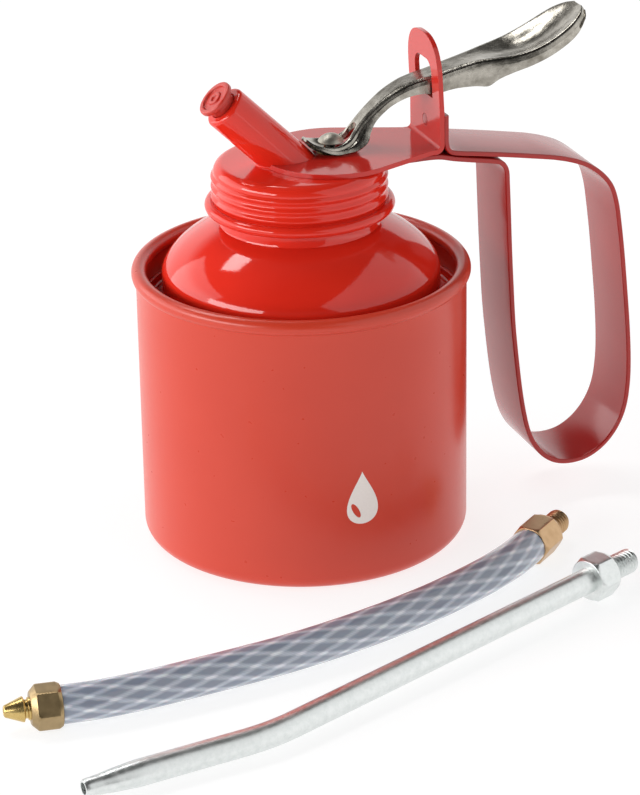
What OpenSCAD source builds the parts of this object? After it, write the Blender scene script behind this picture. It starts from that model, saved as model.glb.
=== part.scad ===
// Force-feed oil can: a drawn steel can with a drip channel, a screwed pump head with
// a strap handle and a thumb lever, and two loose spouts lying in front of it.
// Millimetres, +Z up. The origin is the centre of the can's flat base, +X points
// to the handle and -X to the spout socket.

/* [Can] */
// Outside diameter of the drawn can
can_d = 80; // [79:0.5:81]
// Height to the top of the wired rim
can_h = 69.6; // [68.5:0.1:71]
// Thickness of the can's sheet
sheet = 0.8; // [0.6:0.1:1]
// Diameter of the wired rim bead
rim_bead_d = 3.7; // [3:0.1:4]
// Radius round the bottom edge
foot_r = 3.7; // [3:0.1:5]

/* [Strap and bracket] */
// Width of the strap that makes the handle
strap_w = 19.2; // [18:0.2:20]
// Thickness of the strap and of the bracket plate
strap_t = 1.2; // [1.1:0.05:1.3]
// Radius of the bracket plate's round end
plate_r = 17.3; // [16.5:0.1:18]

/* [Pump] */
// Outside diameter of the pump rod
rod_d = 4; // [3.6:0.1:4.2]
// Radial running clearance of the rod in its gland
rod_fit = 0.05; // [0.03:0.01:0.1]
// Radial running clearance of the piston seal in the barrel
seal_fit = 0.06; // [0.04:0.01:0.1]
// Radial clearance of the plug in the spout socket
plug_fit = 0.07; // [0.03:0.01:0.1]
// Wire diameter of the return spring
spring_wire = 0.9; // [0.7:0.1:1.1]

/* [Spouts] */
// Outside diameter of the braided hose
hose_d = 8.8; // [8.4:0.1:9]
// Outside diameter of the rigid spout's tube
tube_d = 6; // [5.6:0.1:6.2]
// Outside diameter of the thread on both spouts
thread_d = 6; // [5.8:0.1:6]
// Width across the flats of the rigid spout's nut
nut_af = 10; // [9.6:0.1:10]

/* [Hidden] */
$fn = 72;

can_r = can_d / 2;
bead_r = rim_bead_d / 2;
bead_z = can_h - bead_r;
bead_c = can_r - 0.8;
// Drip channel floor and the dome that rises out of it
channel_z = 57.5;
dome_r = 33.7;
dome_z = 68;
dome_top = 82.3;
neck_r = 19.2;
neck_top = 93.2;
// Screw cap
cap_r = 20.7;
cap_top = 95.1;
cap_t = 0.8;
cap_in = 20.1;
cap_round = 2.5;
// Bracket on the cap
plate_z = cap_top;
plate_top = plate_z + strap_t;
up_x = 32.4;
up_z = 123.4;
// Slot in the upright; its lower edge is the lever's fulcrum
slot_z0 = 107.9;
slot_z1 = 117;
slot_w = 10.4;
rivet_r = 1.5;
rivet_z = 101;
// Pump axis, eccentric towards the lever
rod_x = 8.2;
rod_r = rod_d / 2;
barrel_r = 6.9;
barrel_in = 6.2;
barrel_z0 = 52;
// Spout socket leans 45 degrees from this point on the cap
sock_x = -2.65;
sock_len = 22.6;
sock_r = 5.4;
sock_bore = 3.4;
hose_z = 4.7;

// A superellipse quarter from its top, half axes a and b, power p, in n steps
function quarter(a, b, p, n) = [for (i = [0:n]) let (t = 90 * i / n)
  [a * pow(sin(t), 2 / p), b * pow(cos(t), 2 / p)]];
function flip(pts) = [for (i = [len(pts) - 1:-1:0]) pts[i]];
function mix(a, b, t) = a * (1 - t) + b * t;
// A smooth curve through the points, k steps between each two
function spline_at(p, i, t) = let (
  a = p[max(i - 1, 0)], b = p[i], c = p[i + 1], d = p[min(i + 2, len(p) - 1)])
  0.5 * (2 * b + (c - a) * t + (2 * a - 5 * b + 4 * c - d) * t * t
  + (3 * b - a - 3 * c + d) * t * t * t);
function spline(p, k) = [for (i = [0:len(p) - 2]) for (j = [0:k - 1]) spline_at(p, i, j / k),
  p[len(p) - 1]];
function unit(v) = v / norm(v);
function tangent(p, i) = unit(p[min(i + 1, len(p) - 1)] - p[max(i - 1, 0)]);
function normal2(p, i) = let (t = tangent(p, i)) [-t[1], t[0]];
function offset2(p, d) = [for (i = [0:len(p) - 1]) p[i] + d * normal2(p, i)];
// Faces of a closed tube of n rings with m points in each
function ring_faces(n, m) = concat(
  [for (i = [0:n - 2]) for (j = [0:m - 1])
    [i * m + j, i * m + (j + 1) % m, (i + 1) * m + (j + 1) % m, (i + 1) * m + j]],
  [[for (j = [m - 1:-1:0]) j]],
  [[for (j = [0:m - 1]) (n - 1) * m + j]]);
function ring(c, u, v, r, m) = [for (j = [0:m - 1])
  let (a = 360 * j / m) c + r * cos(a) * u + r * sin(a) * v];

// A turned tube wall between radii r0 and r1
module turned(r0, r1, z0, z1) {
  translate([0, 0, z0])
    difference() {
      cylinder(r = r1, h = z1 - z0);
      translate([0, 0, -1])
        cylinder(r = r0, h = z1 - z0 + 2);
    }
}

// Half section of a cup with a rounded foot
module cup_section(r, z0, z1, f) {
  translate([0, z0])
    square([r - f, z1 - z0]);
  translate([0, z0 + f])
    square([r, z1 - z0 - f]);
  translate([r - f, z0 + f])
    intersection() {
      circle(r = f);
      translate([0, -f])
        square([f, f]);
    }
}

// Puts its child on the slanted axis of the spout socket, +Z out of the mouth
module on_socket() {
  translate([sock_x, 0, cap_top])
    rotate([0, -45, 0])
      children();
}

module can_body() color("orangered") {
  rotate_extrude() {
    difference() {
      cup_section(can_r, 0, bead_z, foot_r);
      cup_section(can_r - sheet, sheet, bead_z + 1, foot_r - sheet);
    }
    translate([bead_c, bead_z])
      circle(r = bead_r, $fn = 32);
  }
}

// Dome, neck and drip channel are one drawn piece let into the can
module shoulder() color("tomato") {
  lip = can_r - sheet;
  neck_in = neck_r - 0.8;
  dome = [for (p = quarter(dome_r - 10, dome_top - dome_z, 1.56, 22)) if (p[0] + 10 > neck_r + 0.2)
    p + [10, dome_z]];
  inner = [for (p = quarter(dome_r - 10.8, dome_top - dome_z - 0.8, 1.56, 22))
    if (p[0] + 10 > neck_in + 0.2) p + [10, dome_z]];
  thread = [for (z = [91.2, 88.8, 86.4]) each [[neck_r, z + 0.5], [neck_r + 0.35, z + 0.2],
    [neck_r + 0.35, z - 0.2], [neck_r, z - 0.5]]];
  rotate_extrude()
    polygon(concat([[neck_in, neck_top], [neck_r, neck_top]], thread,
      [[neck_r, dome[0][1] + 0.8]], dome, [[dome_r, channel_z + 0.8], [lip - 0.8, channel_z + 0.8],
      [lip - 0.8, channel_z + 3], [lip, channel_z + 3], [lip, channel_z],
      [dome_r - 0.8, channel_z]], flip(inner), [[neck_in, inner[0][1] + 0.2]]));
}

module neck_gasket() color("dimgray")
  turned(16.6, 19.05, neck_top + 0.05, cap_top - cap_t);

module screw_cap() color("orangered") {
  difference() {
    rotate_extrude() {
      difference() {
        union() {
          translate([0, 84.4])
            square([cap_r, cap_top - cap_round - 84.4]);
          translate([0, 84.4])
            square([cap_r - cap_round, cap_top - 84.4]);
          translate([cap_r - cap_round, cap_top - cap_round])
            circle(r = cap_round, $fn = 48);
          for (z = [86.9, 89.3, 91.7])
            translate([cap_r - 0.5, z])
              circle(r = 1.05, $fn = 32);
          translate([21.65, 84.5])
            circle(r = 1.25, $fn = 32);
        }
        translate([0, 80])
          square([cap_in, cap_top - cap_t - 1 - 80]);
        translate([0, 80])
          square([cap_in - 1, cap_top - cap_t - 80]);
        translate([cap_in - 1, cap_top - cap_t - 1])
          circle(r = 1, $fn = 32);
      }
    }
    translate([rod_x, 0, 90])
      cylinder(r = 3.5, h = 10);
    translate([sock_x, 0, 90])
      cylinder(r = 1.9, h = 10);
  }
}

// Outline of the bracket plate seen from above
module plate_outline() {
  half = strap_w / 2;
  lean = 20.5;
  translate([rod_x, 0])
    circle(r = plate_r);
  polygon([[rod_x, 0],
    [rod_x + plate_r * sin(lean), plate_r * cos(lean)],
    [up_x - 2, half],
    [up_x - 1, half],
    [up_x - 1, -half],
    [up_x - 2, -half],
    [rod_x + plate_r * sin(lean), -plate_r * cos(lean)]]);
}

// Outline of the upright seen from the end, with the lever's slot
module upright_outline() {
  half = strap_w / 2;
  arch = [for (p = quarter(half, up_z - 113, 2.6, 12)) p + [0, 113]];
  difference() {
    polygon(concat(arch, [[half, 90], [-half, 90]], flip([for (p = arch) [-p[0], p[1]]])));
    translate([-slot_w / 2, slot_z0])
      square([slot_w, slot_z1 - slot_z0 - 3]);
    translate([-slot_w / 2 + 3, slot_z0])
      square([slot_w - 6, slot_z1 - slot_z0]);
    for (s = [-1, 1])
      translate([s * (slot_w / 2 - 3), slot_z1 - 3])
        circle(r = 3, $fn = 32);
  }
}

module bracket() color("red") {
  difference() {
    translate([0, 0, plate_z])
      linear_extrude(height = strap_t)
        plate_outline();
    translate([rod_x, 0, 90])
      cylinder(r = 3.5, h = 10);
    on_socket()
      translate([0, 0, -12])
        cylinder(r = sock_r + 0.02, h = 30);
  }
  // Fold and upright: a bent profile cut to the arch outline
  difference() {
    intersection() {
      rotate([90, 0, 0])
        translate([0, 0, -strap_w / 2])
          linear_extrude(height = strap_w) {
            difference() {
              translate([up_x - 1, plate_top + 1])
                circle(r = 1 + strap_t, $fn = 48);
              translate([up_x - 1, plate_top + 1])
                circle(r = 1, $fn = 48);
              translate([up_x - 9, plate_top + 1])
                square([20, 10]);
              translate([up_x - 11, plate_z - 10])
                square([10, 40]);
            }
            polygon([[up_x, plate_top + 1], [up_x + strap_t, plate_top + 1],
              [up_x + strap_t, 105], [up_x + strap_t - 1, up_z + 1], [up_x - 1, up_z + 1],
              [up_x, 105]]);
          }
      rotate([90, 0, 90])
        linear_extrude(height = 60)
          upright_outline();
    }
    rivet_hole();
  }
}

// Centre line of the strap in X and Z, from the tab behind the upright, out along the
// top, round the finger loop, and back under the bracket plate
strap_line = [[34.2, 104.5], [34.2, 101], [34.25, 97.6], [35, 95.6], [37, 94.7], [43, 93.7],
  [50, 92.5], [57, 91.2], [63, 90], [68, 88.5], [72, 86.6], [75.5, 83.8], [78, 80.4],
  [79.4, 76], [80.2, 71], [81.2, 63], [82.2, 53], [83.1, 43], [83.6, 34], [83.5, 27],
  [82.6, 20.8], [80.5, 15.8], [77.2, 11.8], [73, 9.2], [68.6, 8.4], [64.4, 9], [61, 11],
  [58.3, 14.2], [56.5, 18], [55.2, 23], [54, 30], [52.9, 39], [52, 48], [51.4, 58],
  [50.9, 68], [50.5, 78], [50.2, 85], [49.9, 88.6], [48.6, 90.6], [46, 91.45], [41, 92.4],
  [36.5, 93.3], [33, 94.2], [30, plate_z - strap_t / 2 - 0.02], [26, plate_z - strap_t / 2],
  [21.9, plate_z - strap_t / 2]];

module handle() color("firebrick") {
  line = spline(strap_line, 3);
  difference() {
    rotate([90, 0, 0])
      translate([0, 0, -strap_w / 2])
        linear_extrude(height = strap_w)
          polygon(concat(offset2(line, strap_t / 2), flip(offset2(line, -strap_t / 2))));
    rivet_hole();
  }
}

// Rivet that holds the strap's tab to the upright: a domed head and a flush shank
module handle_rivet() color("darkred")
  translate([up_x + 2 * strap_t, 0, rivet_z])
    rotate([0, 90, 0]) {
      rotate_extrude()
        difference() {
          translate([0, -0.6])
            circle(r = 2.8, $fn = 48);
          translate([-5, -5])
            square([5, 10]);
          translate([-5, -5])
            square([10, 5]);
        }
      translate([0, 0, -2 * strap_t])
        cylinder(r = rivet_r, h = 2 * strap_t + 0.5);
    }

// Hole for the rivet through the upright and the strap's tab
module rivet_hole()
  translate([up_x - 5, 0, rivet_z])
    rotate([0, 90, 0])
      cylinder(r = rivet_r + 0.02, h = 10);

module spout_socket() color("orangered") {
  difference() {
    on_socket()
      difference() {
        union() {
          translate([0, 0, -8])
            cylinder(r = sock_r, h = sock_len + 7.2);
          translate([0, 0, sock_len - 0.9])
            cylinder(r = sock_r - 0.5, h = 0.9);
          translate([0, 0, sock_len - 0.8])
            rotate_extrude()
              translate([sock_r - 0.8, 0])
                circle(r = 0.8, $fn = 24);
        }
        translate([0, 0, 11])
          cylinder(r = sock_bore, h = 20);
        translate([0, 0, 5])
          cylinder(r = 2.3, h = 8);
      }
    translate([-40, -20, cap_top - 20])
      cube([60, 40, 20]);
    on_socket()
      translate([0, 0, -8])
        cylinder(r = 1.2, h = 16);
  }
}

// Plug that closes the socket while no spout is fitted
module socket_plug() color("red")
  on_socket() {
    translate([0, 0, sock_len - 8])
      cylinder(r = sock_bore - plug_fit, h = 10);
    translate([0, 0, sock_len + 2])
      difference() {
        cylinder(r = 4.7, h = 1.3);
        translate([0, 0, 0.7])
          cylinder(r = 3, h = 1);
      }
    translate([0, 0, sock_len + 2.6])
      cylinder(r = 1.2, h = 0.5);
  }

module rod_gland() color("goldenrod")
  translate([rod_x, 0, 0]) {
    turned(rod_r + rod_fit, 3.45, 90.5, plate_top - 0.1);
    turned(rod_r + rod_fit, barrel_in - 0.02, 88.5, 90.5);
  }

module pump_barrel() color("silver")
  translate([rod_x, 0, 0])
    difference() {
      turned(barrel_in, barrel_r, barrel_z0, cap_top - cap_t);
      translate([0, 0, 86])
        rotate([0, -90, 0])
          cylinder(r = 1.6, h = 12);
    }

// Foot of the barrel with the inlet seat and the ball's chamber
module barrel_foot() color("goldenrod")
  translate([rod_x, 0, 0])
    difference() {
      union() {
        translate([0, 0, 49.5])
          cylinder(r = barrel_r, h = 2.5);
        translate([0, 0, 52])
          cylinder(r = barrel_in - 0.02, h = 5);
        translate([0, 0, 43])
          cylinder(r = 2.2, h = 7);
      }
      translate([0, 0, 40])
        cylinder(r = 1.2, h = 14);
      translate([0, 0, 52])
        cylinder(r = 2.3, h = 4.7);
      translate([0, 0, 56])
        cylinder(r = 1.4, h = 2);
    }

module suction_tube() color("lightgray")
  translate([rod_x, 0, 0])
    turned(2.2, 3, 5, 49.5);

// Gauze cup over the mouth of the suction tube
module suction_strainer() color("darkkhaki")
  translate([rod_x, 0, 0]) {
    turned(3, 3.4, 4.4, 9);
    translate([0, 0, 3])
      difference() {
        cylinder(r = 5, h = 1.8);
        translate([0, 0, 0.4])
          cylinder(r = 4.6, h = 1);
      }
  }

// Bent pipe from the barrel's side port up to the socket
module delivery_pipe() color("lightgray") {
  // Elbow from the port up to the cap
  translate([1.35, 0, 90])
    rotate([90, 0, 0])
      rotate([0, 0, 180])
        rotate_extrude(angle = 90)
          translate([4, 0])
            difference() {
              circle(r = 1.85, $fn = 32);
              circle(r = 1.2, $fn = 32);
            }
  translate([sock_x, 0, 0])
    turned(1.2, 1.85, 90, cap_top);
}

module pump_rod() color("gainsboro")
  translate([rod_x, 0, 0]) {
    translate([0, 0, 57.6])
      cylinder(r = rod_r, h = 37.4);
    translate([0, 0, 95])
      cylinder(r = 1.4, h = 4.6, $fn = 60);
  }

// Domed head in the lever's dish; its underside is a sphere about the dish's centre
module rod_head() color("lightslategray")
  translate([rod_x, 0, 0])
    difference() {
      rotate_extrude()
        intersection() {
          translate([0, 104.6])
            circle(r = 6.55, $fn = 120);
          translate([0, 96.95])
            circle(r = 3.75, $fn = 72);
          translate([0, 90])
            square([6, 20]);
        }
      translate([0, 0, 95])
        cylinder(r = 1.4, h = 4.6, $fn = 60);
    }

module piston() color("goldenrod")
  translate([rod_x, 0, 0]) {
    turned(rod_r, 5.6, 58.2, 60);
    turned(rod_r, 3.2, 59, 63);
    turned(rod_r, 5.2, 62, 63.2);
  }

module piston_seal() color("saddlebrown")
  translate([rod_x, 0, 0])
    turned(3.2, barrel_in - seal_fit, 60, 62);

// Return spring between the gland and the piston
module return_spring() color("silver") {
  turns = 8;
  steps = 16;
  z0 = 63.2 + spring_wire / 2;
  z1 = 88.5 - spring_wire / 2;
  n = turns * steps;
  rings = [for (i = [0:n]) let (a = 360 * i / steps, d = [cos(a), sin(a), 0],
    climb = min(max((i - steps * 0.8) / (n - steps * 1.6), 0), 1))
    ring([rod_x, 0, mix(z0, z1, climb)] + 4.3 * d, d, [0, 0, -1], spring_wire / 2, 6)];
  polyhedron([for (r = rings) for (p = r) p], ring_faces(n + 1, 6), convexity = 10);
}

module inlet_ball() color("gray")
  translate([rod_x, 0, 52 + 1.29])
    sphere(r = 1.75, $fn = 36);

module delivery_ball() color("gray")
  on_socket()
    translate([0, 0, 5 + 1.29])
      sphere(r = 1.75, $fn = 36);

// Stations along the lever: X and Z of the web, half width of the web, half width at the
// flanges' lower edges, depth of the flanges, and how deep the web is dished
lever_stations = [
  [1.6, 100.4, 1.3, 1.6, 0.35, 0.1], [2.9, 99.5, 2.9, 3.2, 0.5, 0.35],
  [4.6, 98.9, 4.0, 4.4, 0.8, 0.8], [6.4, 98.6, 4.5, 5.0, 1.3, 1.1],
  [8.2, 98.5, 4.6, 5.3, 1.6, 1.15], [10, 98.8, 4.3, 5.5, 1.8, 0.95],
  [11.8, 99.7, 3.7, 5.4, 2.7, 0.5], [13.2, 101.1, 3.1, 4.9, 3.4, 0.1],
  [14.6, 102.8, 2.8, 3.9, 3.1, 0], [16.5, 104.8, 2.8, 3.3, 2.6, 0],
  [19, 107, 3.0, 3.3, 2.4, 0], [22, 109.2, 3.3, 3.5, 2.5, 0],
  [26, 111.2, 3.7, 3.8, 2.9, 0], [30, 112.3, 4.0, 4.1, 3.5, 0],
  [33, 112.8, 4.3, 4.4, 4.25, 0], [37.5, 113.9, 4.5, 4.6, 4.7, 0],
  [42, 114.9, 4.8, 5.0, 5.6, 0.1], [45.6, 115.6, 5.3, 5.6, 6.5, 0.3],
  [48.6, 116, 6.3, 6.7, 5, 0.7], [52, 116.4, 7.4, 7.7, 3.9, 1.1],
  [56, 117.2, 8.2, 8.4, 3.4, 1.5], [60, 118.6, 8.5, 8.7, 3.2, 1.7],
  [63.5, 120.3, 8.4, 8.6, 3.1, 1.6], [66.5, 122, 8.0, 8.2, 2.9, 1.3],
  [69, 123.5, 7.0, 7.2, 2.4, 0.9], [71, 124.6, 5.2, 5.4, 1.8, 0.5],
  [72.3, 125.3, 2.6, 2.7, 1.1, 0.2]];
lever_t = 0.95;

// Half of the lever's outer cross-section, from the middle of the web to the flange's edge
function lever_half(w, e, d, s) = [[0, -s], [0.35 * w, -0.8 * s], [0.68 * w, -0.32 * s],
  [w - 0.55, 0], [w - 0.12, -0.2], [w, -0.2 - 0.12 * d], [mix(w, e, 0.45), -0.55 * d], [e, -d]];
function lever_outer(w, e, d, s) = let (h = lever_half(w, e, d, s))
  concat([for (i = [7:-1:1]) [-h[i][0], h[i][1]]], h);
function lever_section(w, e, d, s) = let (o = lever_outer(w, e, d, s),
  t = min(lever_t, 0.42 * w)) concat(o, flip(offset2(o, -t)));
function lever_ring(st, dir) = [for (p = lever_section(st[2], st[3], st[4], st[5]))
  [st[0] - dir[1] * p[1], p[0], st[1] + dir[0] * p[1]]];

module lever() color("lightsteelblue") {
  rows = spline(lever_stations, 2);
  path = [for (r = rows) [r[0], r[1]]];
  n = len(rows);
  m = 30;
  difference() {
    polyhedron([for (i = [0:n - 1]) for (p = lever_ring(rows[i], tangent(path, i))) p],
      ring_faces(n, m), convexity = 10);
    // Slot for the neck of the pump rod
    translate([0, 0, 90])
      linear_extrude(height = 12.5) {
        translate([rod_x, -1.75])
          square([4.6, 3.5]);
        translate([rod_x, 0])
          circle(r = 1.75, $fn = 24);
      }
  }
}

// Route of the braided hose in X and Y, between its two fittings
hose_route = [[-86, -77.5], [-81.5, -78], [-77, -78.3], [-70, -78.2], [-63, -77.7],
  [-53.5, -76.7], [-43.5, -75.5], [-33.5, -74.1], [-23, -72], [-12, -69.2], [-1, -65.8],
  [11, -61.3], [23.5, -55.4], [30.5, -51.5], [36, -47.9], [41.4, -43.6]];
nozzle_dir = 172.5;
connector_dir = 39.5;

module hose() color("lightblue") {
  line = spline(hose_route, 3);
  n = len(line);
  m = 12;
  polyhedron([for (i = [0:n - 1]) let (t = i == 0 ? -[cos(nozzle_dir), sin(nozzle_dir)]
    : i == n - 1 ? [cos(connector_dir), sin(connector_dir)] : tangent(line, i))
    for (p = ring([line[i][0], line[i][1], hose_z], [t[1], -t[0], 0], [0, 0, 1],
    hose_d / 2, m)) p], ring_faces(n, m), convexity = 6);
}

// Puts a turned piece on an end of the hose, +Z away from the hose
module at_hose(i, a) {
  translate([hose_route[i][0], hose_route[i][1], hose_z])
    rotate([0, 0, a])
      rotate([0, 90, 0])
        rotate([0, 0, 30])
          children();
}

module hose_ferrule() color("peru")
  at_hose(0, nozzle_dir)
    intersection() {
      cylinder(r = 9.3 / 2 / cos(30), h = 7, $fn = 6);
      rotate_extrude()
        polygon([[0, 0], [4.7, 0], [5.4, 0.8], [5.4, 5.8], [3.6, 7], [0, 7]]);
    }

module hose_nozzle() color("gold")
  at_hose(0, nozzle_dir)
    difference() {
      rotate_extrude()
        polygon([[0, 7], [2.6, 7], [2.6, 7.5], [2.2, 7.7], [2.2, 8.2], [3, 8.5], [1.5, 12.7],
          [1.2, 12.9], [0, 12.9]]);
      translate([0, 0, 6])
        cylinder(r = 0.6, h = 8);
    }

// Zigzag profile of a thread between z0 and z1, outer radius r, pitch 1 mm
function thread_profile(r, z0, z1) = concat([[0, z0], [r - 0.6, z0]],
  [for (i = [0:z1 - z0 - 1]) each [[r - 0.55, z0 + i + 0.1], [r, z0 + i + 0.5],
  [r - 0.55, z0 + i + 0.9]]], [[r - 0.6, z1], [0, z1]]);

module hose_connector() color("peru")
  at_hose(len(hose_route) - 1, connector_dir) {
    intersection() {
      cylinder(r = 9.3 / 2 / cos(30), h = 9, $fn = 6);
      rotate_extrude()
        polygon([[0, 0], [4.7, 0], [5.4, 0.8], [5.4, 8.2], [4.8, 9], [0, 9]]);
    }
    difference() {
      rotate_extrude()
        polygon(thread_profile(thread_d / 2, 9, 17));
      translate([0, 0, 9.5])
        cylinder(r = 1.3, h = 9);
    }
  }

// Rigid spout: lies with its nut and its bend on the table, the whole piece tipped slightly
rigid_at = [51.5, -64.3];
rigid_dir = 203;
rigid_tip = atan((nut_af - tube_d) / 2 / 143.5);
rigid_bend = 15.5;
rigid_bend_r = 50;
rigid_straight = 100;
rigid_end = 38;
rigid_bore = 1.5;

// Puts its child with +X along the spout from the nut towards the tip
module on_rigid() {
  translate([rigid_at[0], rigid_at[1], nut_af / 2 + 0.1])
    rotate([0, 0, rigid_dir])
      rotate([0, rigid_tip, 0])
        children();
}

// Axis of the rigid spout at length s from the nut, and its heading
function rigid_turn(s) = min(max((s - rigid_straight) / rigid_bend_r * 180 / PI, 0), rigid_bend);
function rigid_axis(s) = let (a = rigid_turn(s),
  past = max(s - rigid_straight - rigid_bend_r * rigid_bend * PI / 180, 0))
  [min(s, rigid_straight) + rigid_bend_r * sin(a) + past * cos(a),
  rigid_bend_r * (cos(a) - 1) - past * sin(a), 0];
function rigid_ring(s, r) = let (a = rigid_turn(s))
  ring(rigid_axis(s), [-sin(a), -cos(a), 0], [0, 0, 1], r, 24);
// Faces of a hollow tube: n outer rings, then the same number of inner ones
function pipe_faces(n, m) = concat(
  [for (i = [0:n - 2]) for (j = [0:m - 1]) let (k = (j + 1) % m)
    [i * m + j, i * m + k, (i + 1) * m + k, (i + 1) * m + j]],
  [for (i = [n:2 * n - 2]) for (j = [0:m - 1]) let (k = (j + 1) % m)
    [i * m + j, (i + 1) * m + j, (i + 1) * m + k, i * m + k]],
  [for (j = [0:m - 1]) let (k = (j + 1) % m) [j, n * m + j, n * m + k, k]],
  [for (j = [0:m - 1]) let (k = (j + 1) % m)
    [(n - 1) * m + j, (n - 1) * m + k, (2 * n - 1) * m + k, (2 * n - 1) * m + j]]);

module rigid_tube() color("silver") {
  bend_end = rigid_straight + rigid_bend_r * rigid_bend * PI / 180;
  tip = bend_end + rigid_end;
  stops = concat([3], [for (i = [0:6]) mix(rigid_straight, bend_end, i / 6)],
    [tip - 12, tip - 8, tip - 4, tip - 0.5, tip]);
  radii = concat([for (i = [0:8]) tube_d / 2], [tube_d / 2 - 0.25, 2.4, 2.05, 1.85]);
  n = len(stops);
  on_rigid()
    polyhedron(concat([for (i = [0:n - 1]) for (p = rigid_ring(stops[i], radii[i])) p],
      [for (i = [0:n - 1]) for (p = rigid_ring(stops[i], min(rigid_bore, radii[i] - 0.6))) p]),
      pipe_faces(n, 24), convexity = 8);
}

module rigid_nut() color("lightgray")
  on_rigid()
    rotate([0, 90, 0])
      rotate([0, 0, 30])
        difference() {
          intersection() {
            translate([0, 0, -1])
              cylinder(r = nut_af / 2 / cos(30), h = 6.4, $fn = 6);
            translate([0, 0, -1])
              rotate_extrude()
                polygon([[0, 0], [5.1, 0], [6, 0.8], [6, 5.6], [5.1, 6.4], [0, 6.4]]);
          }
          translate([0, 0, 3])
            cylinder(r = tube_d / 2, h = 8);
          translate([0, 0, -2])
            cylinder(r = rigid_bore, h = 8);
        }

module rigid_thread() color("lightgray")
  on_rigid()
    rotate([0, -90, 0])
      difference() {
        rotate_extrude()
          polygon(thread_profile(thread_d / 2, 1, 10));
        cylinder(r = rigid_bore, h = 12);
      }

can_body();
shoulder();
neck_gasket();
screw_cap();
bracket();
handle();
handle_rivet();
spout_socket();
socket_plug();
rod_gland();
pump_barrel();
barrel_foot();
suction_tube();
suction_strainer();
delivery_pipe();
pump_rod();
rod_head();
piston();
piston_seal();
return_spring();
inlet_ball();
delivery_ball();
lever();
hose();
hose_connector();
hose_ferrule();
hose_nozzle();
rigid_tube();
rigid_nut();
rigid_thread();
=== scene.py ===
import bmesh
import bpy
import numpy as np
from mathutils import Matrix


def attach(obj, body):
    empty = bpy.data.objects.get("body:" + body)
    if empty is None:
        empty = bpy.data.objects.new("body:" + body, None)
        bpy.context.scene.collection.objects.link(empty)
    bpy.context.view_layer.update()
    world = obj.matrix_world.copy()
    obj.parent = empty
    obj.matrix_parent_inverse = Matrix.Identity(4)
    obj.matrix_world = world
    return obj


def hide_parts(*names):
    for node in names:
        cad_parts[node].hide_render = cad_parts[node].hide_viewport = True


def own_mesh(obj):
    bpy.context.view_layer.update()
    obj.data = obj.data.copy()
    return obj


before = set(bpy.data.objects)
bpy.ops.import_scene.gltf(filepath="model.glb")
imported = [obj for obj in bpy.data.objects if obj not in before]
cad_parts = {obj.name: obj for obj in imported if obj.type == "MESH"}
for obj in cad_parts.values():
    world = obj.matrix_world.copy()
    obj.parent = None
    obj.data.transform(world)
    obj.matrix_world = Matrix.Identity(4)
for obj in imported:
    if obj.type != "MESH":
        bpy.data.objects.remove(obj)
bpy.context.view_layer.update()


# The eye: a long lens 0.8 m in front of the can and a little above it, turned 20 degrees towards
# the spout side.
turn, tilt, roll = np.radians([-20, 23.386, -0.993])
right = np.array([np.cos(turn), np.sin(turn), 0])
back = np.array([np.sin(turn) * np.cos(tilt), -np.cos(turn) * np.cos(tilt), np.sin(tilt)])
up = np.cross(back, right)
eye = right * 0.004022 + np.array([0, 0, 0.033288]) + back * 0.81285
lens = bpy.data.cameras.new("eye")
lens.sensor_fit = "VERTICAL"
lens.sensor_height = 36
lens.lens = 149.73
lens.clip_start = 0.05
camera = bpy.data.objects.new("eye", lens)
bpy.context.scene.collection.objects.link(camera)
camera.matrix_world = Matrix([[*column, 0] for column in (
    right * np.cos(roll) + up * np.sin(roll), up * np.cos(roll) - right * np.sin(roll), back)]
    + [[*eye, 1]]).transposed()
bpy.context.scene.camera = camera


# Flexible spout: a clear PVC hose with a textile braid inside its wall, crimped into a brass
# ferrule with a turned nozzle at one end and a hexagonal connector with an M6 thread at the other.
# It lies on the bench in one slow bend.
def curve(points, steps):
    """A Catmull-Rom curve through the points: a cubic between each two whose slope at a point is
    half the way from the point before it to the one after."""
    p = np.asarray(points, float)
    p = np.vstack([p[:1], p, p[-1:]])
    t = np.linspace(0, 1, steps, endpoint=False)[None, :, None]
    a, b, c, d = (p[k:len(p) - 3 + k, None] for k in range(4))
    rows = 0.5 * (2 * b + (c - a) * t + (2 * a - 5 * b + 4 * c - d) * t ** 2
                  + (3 * b - a - 3 * c + d) * t ** 3)
    return np.vstack([rows.reshape(-1, p.shape[1]), p[-1:]])


def unit(v):
    """Vectors divided by their lengths."""
    return v / np.linalg.norm(v, axis=-1, keepdims=True)


def sweep(path, side, across, level):
    """A section carried along a path: point + across * (side x heading) + level * side, where
    across and level hold the section's two coordinates, for one section or for one per row."""
    heading = unit(np.gradient(path, axis=0))
    side = np.asarray(side, float)
    normal = unit(np.cross(side, heading))
    across, level = np.atleast_2d(across), np.atleast_2d(level)
    return path[:, None] + across[..., None] * normal[:, None] + level[..., None] * side


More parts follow.
